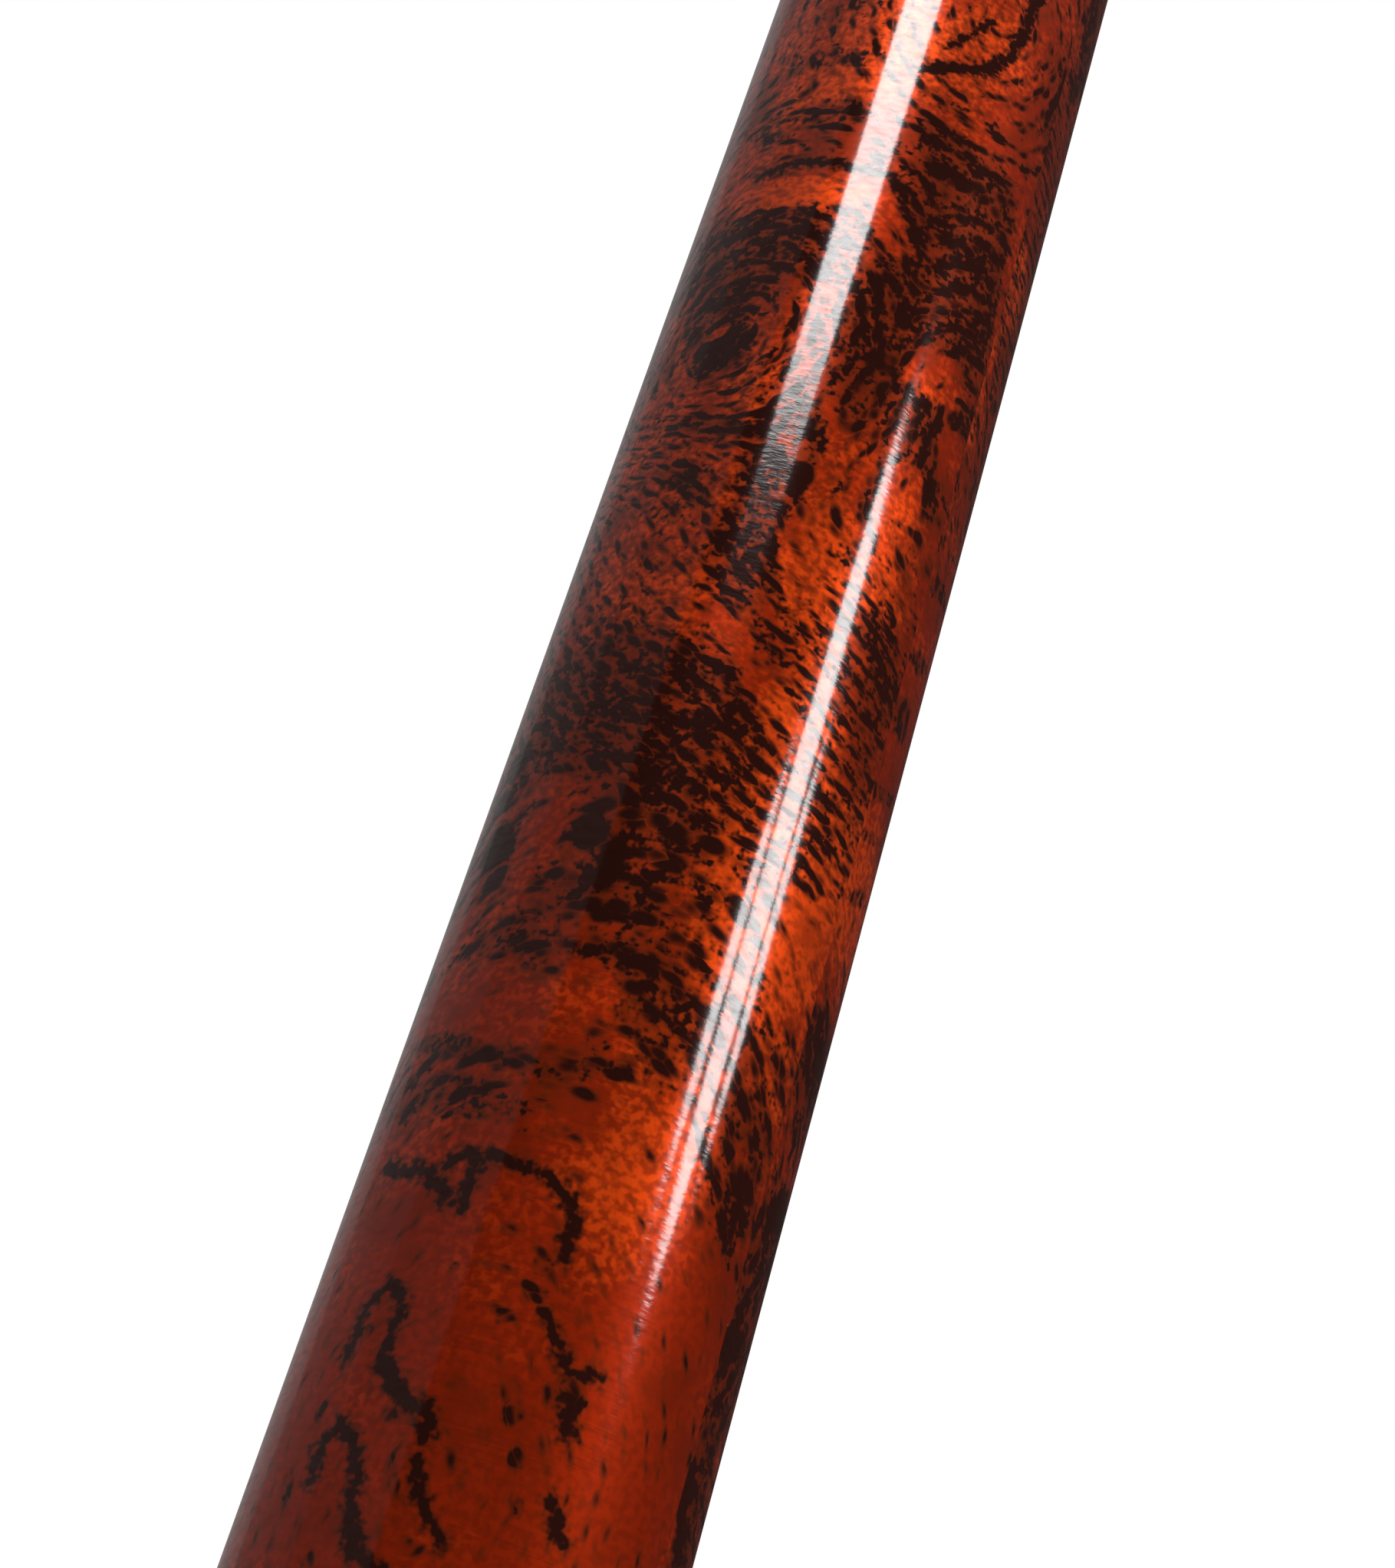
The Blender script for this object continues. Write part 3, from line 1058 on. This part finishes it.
def buildSpringClip():
    clip = springClip
    base, top = levels("spring_clip")
    near, curl, thick = clip["near"], clip["bendRadius"], clip["thickness"]
    kink, bend = top - clip["legEnd"], base + thick / 2 + curl
    deselectAll()
    bpy.ops.mesh.primitive_plane_add(
        size=1, location=Vector((near, 0, (top + kink) / 2)) * mm, rotation=(0, math.pi / 2, 0))
    strip = bpy.context.object
    strip.name = "bent_clip"
    strip.scale = Vector((clip["legEnd"], clip["width"], 1)) * mm
    applyPlace()
    route = []
    for step in range(clip["bendSteps"] + 1):
        turn = math.pi * step / clip["bendSteps"]
        route.append((-curl * math.cos(turn), bend - curl * math.sin(turn)))
    route += [(clip["far"], kink), (clip["far"], top)]
    pick(strip, "EDGE", lambda edge: max(edgeHeights(strip, edge)) < (kink + 1) * mm)
    x, z = near, kink
    for nextX, nextZ in route:
        extrudeBy(nextX - x, nextZ - z)
        x, z = nextX, nextZ
    pick(strip, "EDGE", lambda edge: min(edgeHeights(strip, edge)) > (top - 1) * mm)
    bpy.ops.mesh.select_mode(type="VERT")
    bpy.ops.mesh.bevel(offset=clip["cornerRadius"] * mm, segments=4, affect="VERTICES")
    closeMesh()
    applyModifier(strip, "SOLIDIFY", thickness=thick * mm, offset=0, use_even_offset=True)
    height = middleHeight("snap_button")
    cutAway(strip, addRod(clip["holeRadius"], (near - past, 0, height), (near + past, 0, height), 32))
    finishPiece(strip, None, "bright_steel", "spring_clip")
    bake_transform(strip)


buildSnapButton()
buildSpringClip()
print("stage: button and clip made")


# Brass collar with a rolled bead at each end
collar = {
    "bore": 11.3,
    "radius": 12.4,
    "bead": 0.7,
    # how far out, how far from the end, fillet: all in beads
    "beadOutline": [(-0.5, 0, 0.3), (0.85, 0.3, 0.5), (1, 1.5, 0.9), (0.85, 2.6, 0.6), (0, 3.2, 0.7)],
}


def buildCollar():
    base, top = levels("collar")
    radius, bead = collar["radius"], collar["bead"]
    shape = [(radius + bead * out, bead * up, bead * fillet) for out, up, fillet in collar["beadOutline"]]
    corners = [(collar["bore"], base, 0.2)]
    corners += [(reach, base + rise, fillet) for reach, rise, fillet in shape]
    corners += [(reach, top - rise, fillet) for reach, rise, fillet in reversed(shape)]
    corners += [(collar["bore"], top, 0.2)]
    piece = turnPiece("beaded_collar", soften(corners), 144)
    finishPiece(piece, "upper_shaft", "brass", "collar")


spacerRing = {"bore": 11.3, "radius": 12.75, "edge": 0.6}


def buildSpacerRing():
    base, top = levels("spacer_ring")
    bore, radius, edge = spacerRing["bore"], spacerRing["radius"], spacerRing["edge"]
    corners = [(bore, base, 0.2), (radius, base, edge), (radius, top, edge), (bore, top, 0.2)]
    piece = turnPiece("rounded_spacer", soften(corners), 128)
    finishPiece(piece, "upper_shaft", "black_nylon", "spacer_ring")


buildCollar()
buildSpacerRing()
print("stage: collar and spacer made")


# Derby handle, in mm from its shoulder on the spacer ring
handle = {
    "gap": 0.3,
    # the grip's eight-sided cage from tail to nose: along X, height, half height, half width
    "sections": [
        (-43, 37.65, 7.6, 6.9), (-40, 37.35, 12.6, 11), (-27.5, 33.9, 14.65, 13.2),
        (-13, 30.9, 14.35, 13.75), (0, 30, 13.9, 13.75), (13, 30.45, 13.75, 13.75),
        (33.6, 31.2, 13.6, 13.6), (53.6, 28.55, 13.2, 13.1), (69.6, 22.55, 12.3, 11.85),
        (78.8, 18.25, 9.1, 8.5),
    ],
    "capProud": 1.05,
    "neckReach": 13,  # half the opening for the neck, along the grip
    "neckCage": 13.76,
    # the neck from the grip down: height, how much wider it is along the grip
    "neckStations": [(12.3, 1.2), (7.7, 1.06), (2.2, 1), (-4.5, 1)],
    "rounding": 3,
    "shoulderBevel": 0.5,
    "tenonRadius": 11,
    "tenonInside": 8,  # how far the tenon's rod reaches up into the neck
    "boreRadius": 5.5,
}


def buildHandle():
    shoulder = levels("spacer_ring")[1] + handle["gap"]
    tenonBase = levels("handle")[0]
    boreTop = levels("handle_insert")[1] + handle["gap"]

    def gripPoint(x, rise):
        return Vector((x, 0, shoulder + rise)) * mm

    x, rise, tall, wide = handle["sections"][0]
    deselectAll()
    bpy.ops.mesh.primitive_circle_add(
        vertices=8, radius=mm, location=gripPoint(x, rise), rotation=(math.pi / 2, 0, math.pi / 2))
    grip = bpy.context.object
    grip.name = "derby_handle"
    applyPlace()
    openMesh(grip, "EDGE")
    resizeBy((1, wide, tall), gripPoint(x, rise))
    for nextX, nextRise, nextTall, nextWide in handle["sections"][1:]:
        extrudeBy(nextX - x, nextRise - rise)
        resizeBy((1, nextWide / wide, nextTall / tall), gripPoint(nextX, nextRise))
        x, rise, tall, wide = nextX, nextRise, nextTall, nextWide
    # domed ends
    pickOpenEdges()
    bpy.ops.mesh.fill_holes(sides=0)
    closeMesh()
    tail, nose = handle["sections"][0][0] * mm, x * mm
    pick(grip, "FACE", lambda face: min(abs(face.center.x - tail), abs(face.center.x - nose)) < 0.5 * mm)
    bpy.ops.mesh.poke(offset=handle["capProud"] * mm)
    # the neck grows from the four faces under the middle
    reach = handle["neckReach"] * mm
    pick(grip, "FACE", lambda face: face.normal.z < -0.7 and abs(face.center.x) < reach)
    bpy.ops.mesh.delete(type="FACE")
    height, flare = handle["neckStations"][0]
    bpy.ops.mesh.select_all(action="DESELECT")
    bpy.ops.mesh.primitive_circle_add(
        vertices=8, radius=handle["neckCage"] * mm, location=(0, 0, (shoulder + height) * mm))
    resizeBy((flare, 1, 1), (0, 0, 0))
    bpy.ops.mesh.select_mode(type="EDGE")
    bpy.ops.mesh.select_non_manifold(extend=True)
    bpy.ops.mesh.bridge_edge_loops()
    pickOpenEdges()
    for nextHeight, nextFlare in handle["neckStations"][1:]:
        extrudeBy(0, nextHeight - height)
        resizeBy((nextFlare / flare, 1, 1), (0, 0, 0))
        height, flare = nextHeight, nextFlare
    bpy.ops.mesh.fill_holes(sides=0)
    closeMesh()
    applyModifier(grip, "SUBSURF", levels=handle["rounding"])
    # flat shoulder, tenon and bore
    cutAway(grip, addBlock((60, 60, 20), (0, 0, shoulder - 10)))
    rim = shoulder * mm
    pick(grip, "EDGE", lambda edge: all(abs(z - rim) < 0.01 * mm for z in edgeHeights(grip, edge)))
    bpy.ops.mesh.bevel(offset=handle["shoulderBevel"] * mm, segments=3)
    closeMesh()
    tenonTop = shoulder + handle["tenonInside"]
    cutAway(grip, addRod(handle["tenonRadius"], (0, 0, tenonBase), (0, 0, tenonTop), 128), "UNION")
    cutAway(grip, addRod(handle["boreRadius"], (0, 0, tenonBase - 1), (0, 0, boreTop), 64))
    finishPiece(grip, "upper_shaft", "stained_hardwood", "handle")


buildHandle()
print("stage: handle made")


# CAD pieces that stay as they are get their finish
for slot, nodes in {
    "pale_nylon": ["guide_plug", "top_plug"],
    "bright_steel": ["tip_washer", "tail_washer", "plug_pin_front", "plug_pin_back", "handle_bolt",
                     "bolt_washer"],
    "brass": ["handle_insert"],
}.items():
    for node in nodes:
        bpy.data.objects[node].material_slots[0].material = finishes[slot]
print("stage: kept pieces finished")


# Camera, as the photograph was taken: close to the shaft and looking up along it
view = {
    "place": (0, -0.129768, 0.56),
    "heading": 0.111,  # degrees to the left of +Y
    "elevation": 30.335,
    "roll": 17.358,
    "lens": 60,
    "sensor": 36,
    "clipStart": 0.01,
}


def addCamera():
    camera = bpy.data.objects.new("camera", bpy.data.cameras.new("camera"))
    bpy.context.scene.collection.objects.link(camera)
    camera.data.lens = view["lens"]
    camera.data.sensor_width = view["sensor"]
    camera.data.clip_start = view["clipStart"]
    stand = Matrix.Translation(view["place"])
    for angle, axis in ((view["heading"], "Z"), (90 + view["elevation"], "X"), (view["roll"], "Z")):
        stand = stand @ Matrix.Rotation(math.radians(angle), 4, axis)
    camera.matrix_world = stand
    bpy.context.scene.camera = camera


addCamera()
print("stage: camera placed")


# Light, floor and surroundings
studio = {
    "aim": (0, 0, 0.655),
    # name: degrees round from the front to the left, degrees up, distance, width, height, brightness, round
    "lamps": {
        "window_top": (15.2, 51.3, 0.9, 0.255, 0.345, 3.8, False),
        "window": (15.2, 50.1, 0.9, 0.255, 0.385, 8, False),
        "window_sill": (15.2, 48.4, 0.9, 0.245, 0.44, 0.18, False),
        "strip_left": (-44.4, 24.1, 0.8, 0.072, 0.145, 12, True),
        "strip_middle": (-54.6, 27.3, 0.8, 0.146, 0.316, 12.5, True),
        "strip_right": (-64.2, 24.9, 0.8, 0.06, 0.145, 12, True),
        "back_fill": (165, 45, 1.6, 1.2, 1.2, 1.6, False),
        "right_fill": (-85, 30, 1.2, 1, 1, 1.6, False),
    },
    "unseenInGloss": ("back_fill", "right_fill"),
    "worldWhite": 1,
    "worldFill": 0.22,
    "matte": 0.7,
    "floorColour": (0.8, 0.8, 0.79, 1),
    "floorSize": 40,
    "floorLift": 0.42,
    "flatColour": (0.01, 0.01, 0.01, 1),
    "flatDistance": 1.2,
    "flatHeight": 2.6,
    "flatCount": 8,
    "flatTurn": 19.5,
    "flatOverlap": 0.02,
    "flatGlow": {1: 0.1, 2: 0.14, 3: 0.24},  # the bright wall on the left; the other boards are black
    "blackGlow": 0.008,
}


def addLamp(name, left, up, distance, width, height, brightness, isRound):
    lamp = bpy.data.lights.new(name, "AREA")
    lamp.shape = "ELLIPSE" if isRound else "RECTANGLE"
    lamp.size, lamp.size_y = width, height
    area = width * height * (math.pi / 4 if isRound else 1)
    lamp.energy = brightness * math.pi * area
    turn, rise = math.radians(left), math.radians(up)
    away = Vector((-math.sin(turn) * math.cos(rise), -math.cos(turn) * math.cos(rise), math.sin(rise)))
    holder = bpy.data.objects.new(name, lamp)
    holder.location = Vector(studio["aim"]) + away * distance
    holder.rotation_euler = away.to_track_quat("Z", "Y").to_euler()
    holder.visible_camera = False
    holder.visible_glossy = name not in studio["unseenInGloss"]
    bpy.context.scene.collection.objects.link(holder)


def stageMaterial(name, colour, glow=0):
    return startMaterial(name, baseColor=colour, roughness=studio["matte"], emissionColor=(1, 1, 1, 1),
                         emissionStrength=glow)


# a ring of dark boards that only mirror-like surfaces see, so that gloss shows black between the lamps
def addFlats():
    distance, height, count = studio["flatDistance"], studio["flatHeight"], studio["flatCount"]
    width = 2 * distance * math.tan(math.pi / count) + studio["flatOverlap"]
    for index in range(count):
        turn = 2 * math.pi * index / count + math.radians(studio["flatTurn"])
        deselectAll()
        bpy.ops.mesh.primitive_plane_add(
            size=1, location=(-math.sin(turn) * distance, -math.cos(turn) * distance, height / 2),
            rotation=(math.pi / 2, 0, -turn))
        flat = bpy.context.object
        flat.name = f"flat_{index + 1}"
        flat.scale = (width, height, 1)
        stageMaterial(flat.name, studio["flatColour"], studio["flatGlow"].get(index, studio["blackGlow"]))
        flat.data.materials.append(finishes[flat.name])
        for sight in ("camera", "diffuse", "shadow", "transmission"):
            setattr(flat, "visible_" + sight, False)


# 1 where the camera, a mirror or clear glass sees the background, and 0 where it lights the stick
def seenDirectly():
    path = put("LightPath", {}).node.outputs
    return most(most(path["Is Camera Ray"], path["Is Glossy Ray"]), path["Is Transmission Ray"])


# pale paper that keeps the shadow; it is paler where it is seen than as a light
def addFloor():
    deselectAll()
    bpy.ops.mesh.primitive_plane_add(size=studio["floorSize"], location=(0, 0, 0))
    floor = bpy.context.object
    floor.name = "floor"
    shader = stageMaterial("floor_paper", studio["floorColour"])
    feed(shader["Specular IOR Level"], 0)
    feed(shader["Emission Strength"], times(seenDirectly(), studio["floorLift"]))
    floor.data.materials.append(finishes["floor_paper"])


def lightWorld():
    world = bpy.data.worlds.new("studio")
    bpy.context.scene.world = world
    world.use_nodes = True
    inHand["tree"] = world.node_tree
    back = world.node_tree.nodes["Background"].inputs
    feed(back["Strength"], ramp(seenDirectly(), 0, 1, studio["worldFill"], studio["worldWhite"]))
    feed(back["Color"], (1, 1, 1, 1))


for lampName, values in studio["lamps"].items():
    addLamp(lampName, *values)
addFlats()
addFloor()
lightWorld()
print("stage: light and floor placed")

bpy.context.scene.view_settings.view_transform = "Standard"
